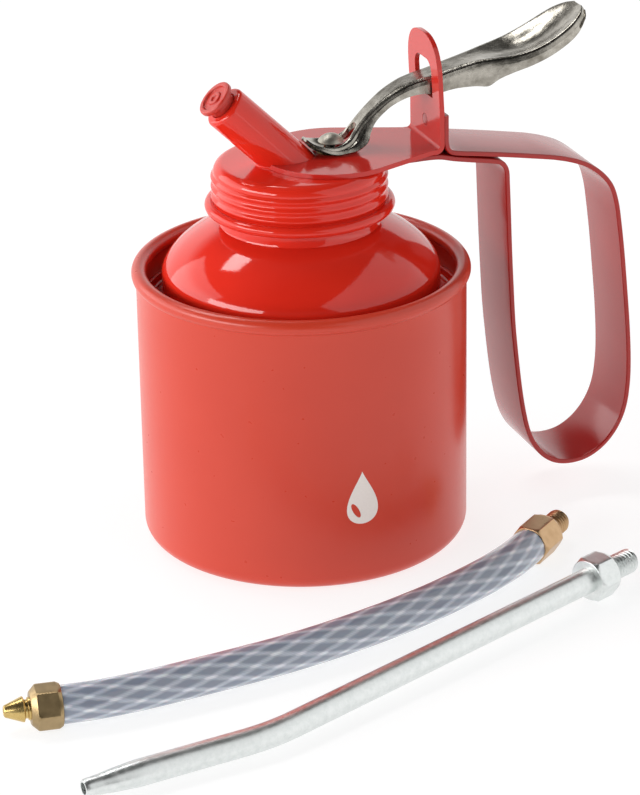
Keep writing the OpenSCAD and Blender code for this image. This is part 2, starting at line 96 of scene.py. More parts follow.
def piece(name, grid, material, body, nodes=(), ends=False, closed=True, uv=None, sharp=30):
    """A mesh over a grid of points, a quad between each four neighbours, its last column joined
    to its first. Equal points are merged, so a row at one point becomes a pole."""
    rows, cols = grid.shape[:2]
    i, j = np.meshgrid(np.arange(rows - 1), np.arange(cols), indexing="ij")
    k = (j + 1) % cols
    faces = np.stack([i * cols + j, i * cols + k, (i + 1) * cols + k, (i + 1) * cols + j], -1)
    faces = faces.reshape(-1, 4).tolist()
    if ends:
        faces += [list(range(cols)), list(range((rows - 1) * cols, rows * cols))]
    mesh = bpy.data.meshes.new(name)
    mesh.from_pydata(grid.reshape(-1, 3).tolist(), [], faces)
    if uv is not None:
        lay_at = np.zeros((len(mesh.loops), 2))
        u = np.stack([j, j + 1, j + 1, j], -1) / cols
        v = np.stack([uv[i], uv[i], uv[i + 1], uv[i + 1]], -1)
        lay_at[:u.size] = np.stack([u.ravel(), v.ravel()], -1)
        mesh.uv_layers.new(name="lay").data.foreach_set("uv", lay_at.ravel())
    return settle(name, mesh, material, body, nodes, sharp, closed)


def settle(name, mesh, material, body, nodes=(), sharp=30, closed=True):
    """Merges equal points, points the faces of a closed mesh outwards, smooths the shading but
    for edges sharper than the given angle, and puts the piece on its body."""
    work = bmesh.new()
    work.from_mesh(mesh)
    bmesh.ops.remove_doubles(work, verts=work.verts, dist=2e-7)
    if closed:
        bmesh.ops.recalc_face_normals(work, faces=work.faces)
    work.to_mesh(mesh)
    work.free()
    mesh.shade_smooth()
    mesh.set_sharp_from_angle(angle=np.radians(sharp))
    thing = bpy.data.objects.new(name, mesh)
    bpy.context.scene.collection.objects.link(thing)
    mesh.materials.append(material)
    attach(thing, body)
    if nodes:
        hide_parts(*nodes)
    return thing


def linear(code):
    """An sRGB hex colour as linear red, green, blue and alpha."""
    c = np.array([int(code[k:k + 2], 16) for k in (1, 3, 5)]) / 255
    c = np.where(c <= 0.04045, c / 12.92, ((c + 0.055) / 1.055) ** 2.4)
    return (*c.tolist(), 1.0)


def add(material, kind, settings=None, links=None):
    """Adds a shader node, sets its sockets and properties, and links its inputs."""
    node = material.node_tree.nodes.new(kind)
    for key, value in (settings or {}).items():
        if isinstance(key, int) or key in node.inputs:
            node.inputs[key].default_value = value
        else:
            setattr(node, key, value)
    for key, (source, output) in (links or {}).items():
        material.node_tree.links.new(source.outputs[output], node.inputs[key])
    return node


def finish_for(name):
    """An empty node material with its output, ready for a surface."""
    material = bpy.data.materials.new(name)
    material.use_nodes = True
    material.node_tree.nodes.clear()
    return material


mm = 0.001
hose_points = np.array([
    [-86, -77.5], [-81.5, -78], [-77, -78.3], [-70, -78.2], [-63, -77.7], [-53.5, -76.7],
    [-43.5, -75.5], [-33.5, -74.1], [-23, -72], [-12, -69.2], [-1, -65.8], [11, -61.3],
    [23.5, -55.4], [30.5, -51.5], [36, -47.9], [41.4, -43.6]]) * mm
hose_up, hose_r, hose_flats = 4.7 * mm, 4.4 * mm, 9.3
hose_line = curve(hose_points, 10)
hose_line = np.column_stack([hose_line, np.full(len(hose_line), hose_up)])
hose_run = np.concatenate([[0], np.cumsum(np.linalg.norm(np.diff(hose_line, axis=0), axis=1))])

# Clear plasticised PVC over a white polyester braid, extruded in two layers: a wet gloss, and
# under it thin pale yarns that cross in long diamonds, a soft blue-grey where they leave the bore
# free. Yarns are counted each way round the hose, and repeat along it in metres.
yarn_count, yarn_repeat = 9.0, 0.0112
braid = finish_for("braided clear PVC")
lay = add(braid, "ShaderNodeUVMap", {"uv_map": "lay"})
split = add(braid, "ShaderNodeSeparateXYZ", links={"Vector": (lay, "UV")})
round_ = add(braid, "ShaderNodeMath", {"operation": "MULTIPLY", 1: yarn_count},
             {0: (split, "X")})
run = add(braid, "ShaderNodeMath", {"operation": "MULTIPLY", 1: 1 / yarn_repeat},
          {0: (split, "Y")})
wander = add(braid, "ShaderNodeTexNoise", {"Scale": 260.0, "Detail": 2.0},
             {"Vector": (add(braid, "ShaderNodeTexCoord"), "Object")})
shake = add(braid, "ShaderNodeMath", {"operation": "MULTIPLY_ADD", 1: 0.22, 2: -0.11},
            {0: (wander, "Fac")})
yarns = []
for operation in ("ADD", "SUBTRACT"):
    cross = add(braid, "ShaderNodeMath", {"operation": operation}, {0: (run, 0), 1: (round_, 0)})
    cross = add(braid, "ShaderNodeMath", {"operation": "ADD"}, {0: (cross, 0), 1: (shake, 0)})
    wave = add(braid, "ShaderNodeMath", {"operation": "PINGPONG", 1: 0.5}, {0: (cross, 0)})
    yarns.append(add(braid, "ShaderNodeMapRange", {
        "interpolation_type": "SMOOTHSTEP", "From Min": 0.03, "From Max": 0.3},
        {"Value": (wave, 0)}))
free = add(braid, "ShaderNodeMath", {"operation": "MULTIPLY"},
           {0: (yarns[0], "Result"), 1: (yarns[1], "Result")})
either = add(braid, "ShaderNodeMath", {"operation": "ADD"},
             {0: (yarns[0], "Result"), 1: (yarns[1], "Result")})
# Single filaments along each yarn, drawn four times as coarse as they are so that they show
thread = add(braid, "ShaderNodeTexWave", {
    "Scale": 24.0, "Distortion": 3.0, "Detail": 2.0, "Detail Scale": 3.0}, {"Vector": (lay, "UV")})
yarn_colour = add(braid, "ShaderNodeMix", {
    "data_type": "RGBA", 6: linear("#F1F3F7"), 7: linear("#BFC5D0")}, {0: (either, 0)})
streak = add(braid, "ShaderNodeMix", {
    "data_type": "RGBA", "blend_type": "MULTIPLY", 0: 0.35, 7: linear("#A9B2C8")},
    {6: (yarn_colour, 2)})
streaked = add(braid, "ShaderNodeMix", {"data_type": "RGBA"},
               {0: (thread, "Fac"), 6: (streak, 2), 7: (yarn_colour, 2)})
wall = add(braid, "ShaderNodeMix", {"data_type": "RGBA", 7: linear("#878F9F")},
           {0: (free, 0), 6: (streaked, 2)})
relief = add(braid, "ShaderNodeBump", {"Strength": 0.3, "Distance": 0.0003, "invert": True},
             {"Height": (free, 0)})
pvc = add(braid, "ShaderNodeBsdfPrincipled", {
    "Roughness": 0.34, "IOR": 1.5, "Subsurface Weight": 0.25, "Subsurface Scale": 0.002,
    "Coat Weight": 0.9, "Coat Roughness": 0.1, "Coat IOR": 1.52},
    {"Base Color": (wall, 2), "Normal": (relief, "Normal")})
add(braid, "ShaderNodeOutputMaterial", links={"Surface": (pvc, "BSDF")})

hose_angle = np.linspace(0, 2 * np.pi, 64, endpoint=False)
hose = piece("braided_hose", sweep(hose_line, [0, 0, 1], hose_r * np.cos(hose_angle),
                                   hose_r * np.sin(hose_angle)),
             braid, "flexible_spout", ["hose"], ends=True, uv=hose_run)


def brass_finish(name, colour, dark, rough):
    """Turned brass: a yellow metal with fine tool marks and faint brown tarnish in patches of a
    few millimetres."""
    material = finish_for(name)
    place = add(material, "ShaderNodeTexCoord")
    patch = add(material, "ShaderNodeTexNoise", {"Scale": 420.0, "Detail": 4.0},
                {"Vector": (place, "Object")})
    tone = add(material, "ShaderNodeMix", {
        "data_type": "RGBA", 6: linear(dark), 7: linear(colour)}, {0: (patch, "Fac")})
    gloss = add(material, "ShaderNodeMapRange", {"To Min": rough * 0.7, "To Max": rough * 1.4},
                {"Value": (patch, "Fac")})
    tool = add(material, "ShaderNodeTexNoise", {"Scale": 2600.0}, {"Vector": (place, "Object")})
    marks = add(material, "ShaderNodeBump", {"Strength": 0.12, "Distance": 0.0001},
                {"Height": (tool, "Fac")})
    metal = add(material, "ShaderNodeBsdfPrincipled", {"Metallic": 1.0}, {
        "Base Color": (tone, 2), "Roughness": (gloss, "Result"), "Normal": (marks, "Normal")})
    add(material, "ShaderNodeOutputMaterial", links={"Surface": (metal, "BSDF")})
    return material


turned_brass = brass_finish("turned brass", "#E2C988", "#BC9A58", 0.26)
crimped_brass = brass_finish("crimped brass", "#BFA67C", "#927C58", 0.34)
connector_brass = brass_finish("milled brass", "#D8B690", "#B08C62", 0.3)


def corners(points, steps=6):
    """A polyline whose corners are arcs: each point is across, along and corner radius in
    millimetres, and an arc runs between the two places where a circle touches the legs."""
    p = np.asarray(points, float)
    line = [p[0, :2]]
    for k in range(1, len(p) - 1):
        at, r = p[k, :2], p[k, 2]
        if r == 0:
            line.append(at)
            continue
        a, b = unit(p[k - 1, :2] - at), unit(p[k + 1, :2] - at)
        half = np.arccos(np.clip(a @ b, -1, 1)) / 2
        centre = at + unit(a + b) * r / np.sin(half)
        v0, v1 = at + a * r / np.tan(half) - centre, at + b * r / np.tan(half) - centre
        s, full = np.linspace(0, 1, steps + 1)[:, None], np.pi - 2 * half
        line.extend(centre + (np.sin((1 - s) * full) * v0 + np.sin(s * full) * v1) / np.sin(full))
    line.append(p[-1, :2])
    return np.array(line) * mm


def turned(profile, origin=(0, 0, 0), axes=None, columns=96, shift=None):
    """A profile of radius and height turned about an axis: origin + r cos(a) x + r sin(a) y
    + height z, the axis moved sideways by shift where a hole is off centre."""
    x, y, z = np.eye(3) if axes is None else np.asarray(axes, float)
    a = np.linspace(0, 2 * np.pi, columns, endpoint=False)
    r, h = profile[:, 0, None, None], profile[:, 1, None, None]
    grid = (r * (np.cos(a)[:, None] * x + np.sin(a)[:, None] * y) + h * z
            + np.asarray(origin, float))
    if shift is not None:
        grid = grid + np.asarray(shift)[:, None, None] * x
    return grid


def six_sided(grid_profile, flats, origin, axes, columns=96):
    """A hexagonal bar turned at its ends: at each height the radius is the smaller of the turned
    profile and the hexagon, whose radius is the power mean of its six flats, so that its corners
    are a little round."""
    a = np.linspace(0, 2 * np.pi, columns, endpoint=False)
    facing = np.cos(a[:, None] - np.radians(np.arange(6) * 60))
    hexagon = flats / 2 * mm / (np.maximum(facing, 0) ** 70).sum(-1) ** (1 / 70)
    r, h = grid_profile[:, 0, None], grid_profile[:, 1, None]
    radius = hexagon * (1 + (hexagon / np.maximum(r, 1e-6)) ** 50) ** (-1 / 50)
    radius = np.where(r == 0, 0, radius)
    x, y, z = np.asarray(axes, float)
    return (radius[..., None] * (np.cos(a)[:, None] * x + np.sin(a)[:, None] * y)
            + h[..., None] * z + np.asarray(origin, float))


def threaded(r, start, end, bore, origin, axes, columns=48):
    """An M6 screw: the radius falls and rises 0.6 mm once in each 1 mm of height less a part turn,
    so the groove climbs, and both ends are chamfered. The bore comes back down the middle."""
    a = np.linspace(0, 2 * np.pi, columns, endpoint=False)
    h = np.linspace(start, end, int((end - start) * 10) + 1)[:, None]
    groove = np.abs(2 * np.mod(h - a / (2 * np.pi), 1) - 1)
    radius = r - 0.62 * np.clip(groove * 1.3 - 0.15, 0, 1)
    radius = np.minimum(radius, r - 0.75 + 1.1 * np.minimum(h - start, end - h))
    inner = np.array([[bore, end], [bore, end - 5], [0, end - 5]])
    radius = np.vstack([radius[:1] * 0, radius, np.repeat(inner[:, :1], columns, 1)]) * mm
    h = np.vstack([[[start]], h, inner[:, 1:]]) * mm
    x, y, z = np.asarray(axes, float)
    return (radius[..., None] * (np.cos(a)[:, None] * x + np.sin(a)[:, None] * y)
            + h[..., None] * z + np.asarray(origin, float))


def lying(degrees):
    """Axes of a piece that lies on the bench: up, sideways, and along a heading."""
    a = np.radians(degrees)
    along = np.array([np.cos(a), np.sin(a), 0])
    return np.array([0, 0, 1.0]), np.cross(along, [0, 0, 1.0]), along


front, rear = lying(172.5), lying(39.5)
ferrule = corners([[0, 0, 0], [4.75, 0, 0.3], [5.35, 0.9, 0.4], [5.35, 5.4, 0.8], [3.7, 7, 0.5],
                   [0, 7, 0]])
ferrule = piece("hose_crimp", six_sided(ferrule, hose_flats, hose_line[0], front),
                crimped_brass, "flexible_spout", ["hose_ferrule"])
nozzle = corners([[0, 6.5, 0], [2.6, 6.5, 0], [2.6, 7.45, 0.15], [2.15, 7.6, 0.1],
                  [2.15, 8.2, 0.1], [3, 8.4, 0.25], [1.35, 12.7, 0.3], [1.0, 12.9, 0.1],
                  [0.6, 12.9, 0.1], [0.6, 9, 0], [0, 9, 0]], 4)
nozzle = piece("hose_tip", turned(nozzle, hose_line[0], front), turned_brass, "flexible_spout",
               ["hose_nozzle"])
connector = corners([[0, 0, 0], [4.75, 0, 0.3], [5.35, 0.9, 0.4], [5.35, 8.1, 0.4],
                     [4.7, 9, 0.3], [0, 9, 0]])
connector = piece("hose_hexagon", six_sided(connector, hose_flats, hose_line[-1], rear),
                  connector_brass, "flexible_spout", ["hose_connector"])
screw = piece("hose_screw", threaded(3, 8.5, 17, 1.3, hose_line[-1], rear), connector_brass,
              "flexible_spout", sharp=60)


# Rigid spout: a zinc-plated steel tube, bent once and tapered at its tip, with a hexagon nut
# brazed on behind an M6 thread. It lies on its nut and its bend.
def zinc_finish(name, light, dark, rough):
    """Bright zinc plating: a blue-white metal with soft cloudy spangle of a millimetre or two and
    finer pits."""
    material = finish_for(name)
    place = add(material, "ShaderNodeTexCoord")
    cloud = add(material, "ShaderNodeTexNoise", {"Scale": 700.0, "Detail": 5.0, "Roughness": 0.65},
                {"Vector": (place, "Object")})
    grain = add(material, "ShaderNodeTexVoronoi", {"Scale": 1500.0}, {"Vector": (place, "Object")})
    tone = add(material, "ShaderNodeMix", {
        "data_type": "RGBA", 6: linear(dark), 7: linear(light)}, {0: (cloud, "Fac")})
    gloss = add(material, "ShaderNodeMapRange", {"To Min": rough * 0.55, "To Max": rough * 1.5},
                {"Value": (cloud, "Fac")})
    both = add(material, "ShaderNodeMath", {"operation": "MULTIPLY_ADD", 1: 0.3},
               {0: (grain, "Distance"), 2: (cloud, "Fac")})
    pits = add(material, "ShaderNodeBump", {"Strength": 0.16, "Distance": 0.00012},
               {"Height": (both, 0)})
    metal = add(material, "ShaderNodeBsdfPrincipled", {"Metallic": 1.0}, {
        "Base Color": (tone, 2), "Roughness": (gloss, "Result"), "Normal": (pits, "Normal")})
    add(material, "ShaderNodeOutputMaterial", links={"Surface": (metal, "BSDF")})
    return material


zinc = zinc_finish("bright zinc plate", "#F8FAF9", "#CDD3D1", 0.34)
tip_angle = np.arctan(2 / 143.5)
spout_along = np.array([np.cos(np.radians(203)), np.sin(np.radians(203)), 0])
spout_side = np.cross(spout_along, [0, 0, 1.0])
spout_along = spout_along * np.cos(tip_angle) - np.array([0, 0, np.sin(tip_angle)])
spout_up = np.cross(spout_side, spout_along)
spout_at = np.array([51.5, -64.3, 5.1]) * mm
bend_s, bend_r, bend_by = 100, 50, np.radians(15.5)


def along_spout(s):
    """The tube's axis at length s and the direction square to it on the bend's outside: straight
    for 100 mm, then a 15.5 degree bend of 50 mm radius, then straight on."""
    a = np.clip((s - bend_s) / bend_r, 0, bend_by)
    past = np.maximum(s - bend_s - bend_r * bend_by, 0)
    x = np.minimum(s, bend_s) + bend_r * np.sin(a) + past * np.cos(a)
    y = bend_r * (1 - np.cos(a)) + past * np.sin(a)
    flat = x[:, None] * spout_along + y[:, None] * spout_side
    square = -np.sin(a)[:, None] * spout_along + np.cos(a)[:, None] * spout_side
    return spout_at + flat * mm, square


tip_s = bend_s + bend_r * bend_by + 38
stops = np.concatenate([np.linspace(3, 100, 40), np.linspace(100.5, 114, 28),
                        np.linspace(115, tip_s - 13, 12), np.linspace(tip_s - 12.5, tip_s, 26),
                        np.linspace(tip_s, tip_s - 12, 6)])
tube_r = np.interp(stops, [0, tip_s - 13, tip_s - 11, tip_s - 7, tip_s - 4, tip_s - 0.6, tip_s],
                   [3, 3, 2.9, 2.6, 2.25, 2.05, 1.85])
tube_r[-6:] = [1.35, 1.3, 1.3, 1.3, 1.3, 0]
spine, outward = along_spout(stops)
tube_angle = np.linspace(0, 2 * np.pi, 64, endpoint=False)
tube_grid = spine[:, None] + (tube_r * mm)[:, None, None] * (
    np.cos(tube_angle)[:, None] * outward[:, None] + np.sin(tube_angle)[:, None] * spout_up)
piece("bent_tube", tube_grid, zinc, "rigid_spout", ["rigid_tube"], ends=True, sharp=50)
nut_axes = (spout_up, np.cross(spout_along, spout_up), spout_along)
nut = corners([[0, -1, 0], [4.9, -1, 0.3], [5.7, -0.1, 0.3], [5.7, 4.5, 0.3], [4.9, 5.4, 0.3],
               [0, 5.4, 0]])
piece("brazed_nut", six_sided(nut, 10, spout_at, nut_axes), zinc, "rigid_spout",
      ["rigid_nut"])
screw_axes = (spout_up, np.cross(-spout_along, spout_up), -spout_along)
piece("spout_screw", threaded(3, 0.6, 10, 1.5, spout_at, screw_axes), zinc, "rigid_spout",
      ["rigid_thread"], sharp=60)


# The can: a cup drawn from sheet steel, its bottom edge rounded, its mouth rolled over a wire, and
# sprayed with orange-red enamel that is less glossy on the wall than on the smaller pieces.
def enamel_finish(name, colour, deep, rough, peel):
    """Stoved enamel: an even colour with a slight drift over centimetres, a hard gloss that varies
    by a tenth, and orange peel, shallow dimples about 1.5 mm across."""
    material = finish_for(name)
    place = add(material, "ShaderNodeTexCoord")
    drift = add(material, "ShaderNodeTexNoise", {"Scale": 60.0, "Detail": 2.0},
                {"Vector": (place, "Object")})
    tone = add(material, "ShaderNodeMix", {
        "data_type": "RGBA", 6: linear(deep), 7: linear(colour)}, {0: (drift, "Fac")})
    dimples = add(material, "ShaderNodeTexNoise", {"Scale": 650.0, "Detail": 1.0},
                  {"Vector": (place, "Object")})
    orange_peel = add(material, "ShaderNodeBump", {"Strength": peel, "Distance": 0.0002},
                      {"Height": (dimples, "Fac")})
    dust = add(material, "ShaderNodeMapRange", {"To Min": rough * 0.9, "To Max": rough * 1.1},
               {"Value": (dimples, "Fac")})
    paint = add(material, "ShaderNodeBsdfPrincipled", {"IOR": 1.5}, {
        "Base Color": (tone, 2), "Roughness": (dust, "Result"), "Normal": (orange_peel, "Normal")})
    add(material, "ShaderNodeOutputMaterial", links={"Surface": (paint, "BSDF")})
    return material


wall_enamel = enamel_finish("sprayed enamel", "#D0402A", "#CA3B26", 0.29, 0.012)
gloss_enamel = enamel_finish("stoved enamel", "#E83220", "#DC2A1C", 0.08, 0.05)
plate_enamel = enamel_finish("stoved enamel, plate", "#CE2F26", "#C22820", 0.12, 0.08)
strap_enamel = enamel_finish("stoved enamel, strap", "#B22822", "#A2201D", 0.16, 0.08)


def arc(across, height, r, start, end, steps):
    """Points of an arc about a centre, in millimetres, between two angles in degrees."""
    a = np.radians(np.linspace(start, end, steps))
    return np.column_stack([across + r * np.cos(a), height + r * np.sin(a)]) * mm


can_r, can_inner_r, can_sheet = 40, 39.2, 0.8
foot = corners([[0, 0, 0], [can_r, 0, 3.7], [can_r, 60, 0]], 14)
inside = corners([[can_inner_r, 60, 0], [can_inner_r, can_sheet, 2.9], [0, can_sheet, 0]], 10)
rim = arc(can_inner_r, 67.75, 1.85, -62, 268, 48)
can_profile = np.vstack([foot, [[can_r * mm, 65.6 * mm]], rim, inside])
piece("drawn_can", turned(can_profile, columns=256), wall_enamel, "can",
      ["can_body"])

# A plain oil drop printed on the wall in white: screen ink, flat and a little matt, one drop
# 13.6 mm high with an oval shine left open in it.
ink = finish_for("white screen ink")
place = add(ink, "ShaderNodeTexCoord")
mesh_marks = add(ink, "ShaderNodeTexNoise", {"Scale": 1800.0}, {"Vector": (place, "Object")})
ink_relief = add(ink, "ShaderNodeBump", {"Strength": 0.08, "Distance": 0.00005},
                 {"Height": (mesh_marks, "Fac")})
ink_tone = add(ink, "ShaderNodeMix", {
    "data_type": "RGBA", 6: linear("#EADFD8"), 7: linear("#F3E9E3")}, {0: (mesh_marks, "Fac")})
ink_paint = add(ink, "ShaderNodeBsdfPrincipled", {"Roughness": 0.35},
                {"Base Color": (ink_tone, 2), "Normal": (ink_relief, "Normal")})
add(ink, "ShaderNodeOutputMaterial", links={"Surface": (ink_paint, "BSDF")})


def drop_on_wall(wide, high, middle, rows=8, columns=120):
    """The drop's outline is wide * sin t * sin(t/2)^1.5 across and high * cos t up; its shine is
    an ellipse. The grid runs straight from one to the other and is wrapped on the can, one
    millimetre across being one millimetre of arc on its front. The ink stands 0.04 mm proud."""
    t = np.linspace(2 * np.pi, 0, columns, endpoint=False)
    outer = np.column_stack([wide * np.sin(t) * np.sin(t / 2) ** 1.5, high * np.cos(t)])
    centre = np.array([-1.7, -3.2])
    away = outer - centre
    angle = np.arctan2(away[:, 1], away[:, 0]) - np.radians(118)
    narrow, tall = 0.75, 2.1
    reach = narrow * tall / np.hypot(narrow * np.cos(angle), tall * np.sin(angle))
    inner = centre + unit(away) * reach[:, None]
    s = np.linspace(0, 1, rows)[:, None, None]
    flat = (1 - s) * outer + s * inner
    a = np.radians(-90) + flat[..., 0] / can_r
    ink_r = 40.04
    return np.stack([ink_r * np.cos(a), ink_r * np.sin(a), middle + flat[..., 1]], -1) * mm


piece("printed_drop", drop_on_wall(5.6, 6.8, 23.6), ink, "can", closed=False)


# The shoulder: one deep drawing with the drip channel, the dome and the threaded neck, let into
# the can's mouth. Its corners are rounded by the press.
def dome_line(radius, top, steps):
    """A superellipse quarter of power 1.56 on a foot ring 10 mm in: across 10 + a sin(t)^1.28,
    up 68 + b cos(t)^1.28."""
    t = np.radians(np.linspace(0, 90, steps))
    ring, level, power = 10, 68, 2 / 1.56
    return np.column_stack([ring + (radius - ring) * np.sin(t) ** power,
                            level + (top - level) * np.cos(t) ** power])


dome = dome_line(33.7, 82.3, 80)
dome = dome[dome[:, 0] > 19.9]
under = dome_line(32.9, 81.5, 60)
under = under[under[:, 0] > 18.8][::-1]
pitch, neck_r, neck_lip, neck_bore = 2.4, 19.2, 93.2, 18.4
neck_z = np.linspace(92.9, 85.4, 46)
neck_thread = np.cos(2 * np.pi * (neck_z - 91.2) / pitch).clip(0)
neck = np.column_stack([neck_r + 0.35 * neck_thread, neck_z])
channel = corners([[33.7, 66, 0], [33.7, 58.3, 1.6], [38.4, 58.3, 1.6], [38.4, 60.6, 0.3],
                   [39.2, 60.6, 0.2], [39.2, 57.5, 0.3], [32.9, 57.5, 0.5], [32.9, 66, 0]], 8)
shoulder = np.vstack([
    [[neck_bore * mm, neck_lip * mm], [19.1 * mm, neck_lip * mm]], neck * mm,
    [[neck_r * mm, (dome[0, 1] + 0.7) * mm], [19.45 * mm, (dome[0, 1] + 0.15) * mm]], dome * mm,
    channel, under * mm,
    [[neck_bore * mm, (under[-1, 1] + 0.3) * mm], [neck_bore * mm, neck_lip * mm]]])
piece("drawn_shoulder", turned(shoulder, columns=256), gloss_enamel, "can",
      ["shoulder"])


# The screw cap: a pressed steel cap with a thread rolled into its skirt and a beaded lower edge.
# The pump passes through a hole off its middle, on the rod's axis.
rod_x, cap_top, cap_under, bead_r = 8.2, 95.1, 94.3, 1.25
skirt_z = np.linspace(85.75, 92.5, 72)
ridge = (0.5 + 0.5 * np.cos(2 * np.pi * (skirt_z - 86.9) / pitch)) ** 1.3
skirt = np.column_stack([20.72 + 0.56 * ridge, skirt_z])
crown = corners([[20.7, 92.6, 0], [20.7, cap_top, 2.4], [17, cap_top, 0]], 10)
lining = corners([[17, cap_under, 0], [20.1, cap_under, 1], [20.1, 84.4, 0.2], [20.6, 84.4, 0]], 8)
hole = np.array([[3.5, cap_top], [3.5, cap_under]]) * mm
cap = np.vstack([arc(21.65, 84.5, bead_r, 190, 492, 40), skirt * mm, crown, hole, lining,
                 arc(21.65, 84.5, bead_r, 190, 190, 1)])
off = np.zeros(len(cap))
off[-3 - len(lining):-1 - len(lining)] = rod_x * mm
piece("pressed_cap", turned(cap, columns=256, shift=off), gloss_enamel, "pump_head",
      ["screw_cap"])


# The bracket: 1.2 mm steel plate, its round end brazed to the cap, folded up into a post with a
# slot for the lever. Cut edges are broken and take a thicker line of enamel.
def broken_edges(node, name, material, body, width):
    """A merged copy of a sheet or solid node, with flats joined and its edges a little round."""
    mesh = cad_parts[node].data.copy()
    mesh.materials.clear()
    for spare in ("custom_normal", "sharp_edge", "sharp_face"):
        if spare in mesh.attributes:
            mesh.attributes.remove(mesh.attributes[spare])
    work = bmesh.new()
    work.from_mesh(mesh)
    bmesh.ops.remove_doubles(work, verts=work.verts, dist=2e-6)
    bmesh.ops.dissolve_limit(work, angle_limit=np.radians(1.5), verts=work.verts, edges=work.edges)
    work.to_mesh(mesh)
    work.free()
    thing = settle(name, mesh, material, body, [node], 35)
    edge = thing.modifiers.new("edge", "BEVEL")
    edge.width = width * mm
    edge.segments = 3
    edge.limit_method = "ANGLE"
    edge.angle_limit = np.radians(40)
    edge.harden_normals = True
    return thing


broken_edges("bracket", "folded_bracket", plate_enamel, "pump_head", 0.28)


# The handle: one strap of the same steel, riveted behind the post, run out and down round the
# fingers, and back up under the plate.
strap_line = np.array([
    [34.2, 104.5], [34.2, 101], [34.25, 97.6], [35, 95.6], [37, 94.7], [43, 93.7], [50, 92.5],
    [57, 91.2], [63, 90], [68, 88.5], [72, 86.6], [75.5, 83.8], [78, 80.4], [79.4, 76],
    [80.2, 71], [81.2, 63], [82.2, 53], [83.1, 43], [83.6, 34], [83.5, 27], [82.6, 20.8],
    [80.5, 15.8], [77.2, 11.8], [73, 9.2], [68.6, 8.4], [64.4, 9], [61, 11], [58.3, 14.2],
    [56.5, 18], [55.2, 23], [54, 30], [52.9, 39], [52, 48], [51.4, 58], [50.9, 68], [50.5, 78],
    [50.2, 85], [49.9, 88.6], [48.6, 90.6], [46, 91.45], [41, 92.4], [36.5, 93.3], [33, 94.2],
    [30, 94.48], [26, 94.5], [21.9, 94.5]]) * mm
strap = curve(strap_line, 10)
strap = np.column_stack([strap[:, 0], np.zeros(len(strap)), strap[:, 1]])
strap_edge = corners([[0, -9.6, 0], [0.6, -9.6, 0.4], [0.6, 9.6, 0.4], [-0.6, 9.6, 0.4],
                      [-0.6, -9.6, 0.4], [0, -9.6, 0]], 5)[:-1]
piece("strap_handle", sweep(strap, [0, 1, 0], strap_edge[:, 0], strap_edge[:, 1]), strap_enamel,
      "pump_head", ["handle"], ends=True)
rivet = corners([[0, 2.2, 0], [1.2, 2.1, 0.8], [2.45, 0.6, 0.6], [2.7, 0, 0], [1.5, 0, 0],
                 [1.5, -2.4, 0.2], [0, -2.4, 0]], 6)
rivet_axes = [[0, 0, -1], [0, 1, 0], [1, 0, 0]]
piece("rivet", turned(rivet, np.array([34.8, 0, 101]) * mm, rivet_axes, 48), strap_enamel,
      "pump_head", ["handle_rivet"])


# The spout socket: a steel tube cut at 45 degrees and brazed to the cap, with a fillet of braze
# round its foot, a rounded mouth, and the delivery valve's chamber inside.
lean = np.array([[1, 0, 1], [0, 2 ** 0.5, 0], [-1, 0, 1]]) / 2 ** 0.5
socket_at = np.array([-2.65, 0, cap_top]) * mm
socket_r, braze, lip_r = 5.4, 0.7, 0.9


def slanted(rows, columns=96):
    """A turned form cut off by a level plane: each row is radius, height, and how much of the
    plane's own height, -radius * cos a, is added to it."""
    a = np.linspace(0, 2 * np.pi, columns, endpoint=False)
    r, h, cut = (np.asarray(rows, float)[:, k, None] for k in range(3))
    h = h - cut * r * np.cos(a)
    point = np.stack([r * np.cos(a) + 0 * h, r * np.sin(a) + 0 * h, h], -1) * mm
    return socket_at + point @ lean


fillet = [[socket_r + braze * (1 - np.sin(t)), braze * (1 - np.cos(t)), 1]
          for t in np.radians(np.linspace(0, 90, 7))]
mouth = [[4.5 + lip_r * np.cos(t), 21.7 + lip_r * np.sin(t), 0]
         for t in np.radians(np.linspace(0, 90, 8))]
socket = slanted(fillet + mouth + [[3.6, 22.6, 0], [3.4, 22.4, 0], [3.4, 11, 0], [2.3, 11, 0],
                                   [2.3, 5, 0], [1.2, 5, 0], [1.2, 0, 1], [6.1, 0, 1]])
piece("brazed_socket", socket, gloss_enamel, "pump_head", ["spout_socket"])

# The plug: moulded red polyethylene, a hollow-topped flange on a tapered stem, pushed into the
# socket to keep dust out. A soft gloss with fine mould texture, 0.3 mm across.
poly = finish_for("moulded polyethylene")
place = add(poly, "ShaderNodeTexCoord")
mould = add(poly, "ShaderNodeTexNoise", {"Scale": 3300.0}, {"Vector": (place, "Object")})
mould_relief = add(poly, "ShaderNodeBump", {"Strength": 0.1, "Distance": 0.0001},
                   {"Height": (mould, "Fac")})
poly_tone = add(poly, "ShaderNodeMix", {
    "data_type": "RGBA", 6: linear("#BE2A20"), 7: linear("#CA3A2C")}, {0: (mould, "Fac")})
poly_body = add(poly, "ShaderNodeBsdfPrincipled", {
    "Roughness": 0.3, "IOR": 1.51, "Subsurface Weight": 0.15, "Subsurface Scale": 0.001},
    {"Base Color": (poly_tone, 2), "Normal": (mould_relief, "Normal")})
add(poly, "ShaderNodeOutputMaterial", links={"Surface": (poly_body, "BSDF")})
plug = corners([[0, 14.6, 0], [3.0, 14.6, 0.4], [3.33, 16.5, 0.3], [3.33, 24.6, 0.3],
                [4.7, 24.6, 0.35], [4.7, 25.9, 0.45], [3.5, 25.9, 0.25], [3.3, 25.35, 0.2],
                [1.9, 25.35, 0.2], [1.7, 25.75, 0.2], [0.9, 25.75, 0.2], [0.7, 25.4, 0.2],
                [0, 25.4, 0]], 5)
piece("push_plug", turned(plug, socket_at, lean), poly, "plug", ["socket_plug"])


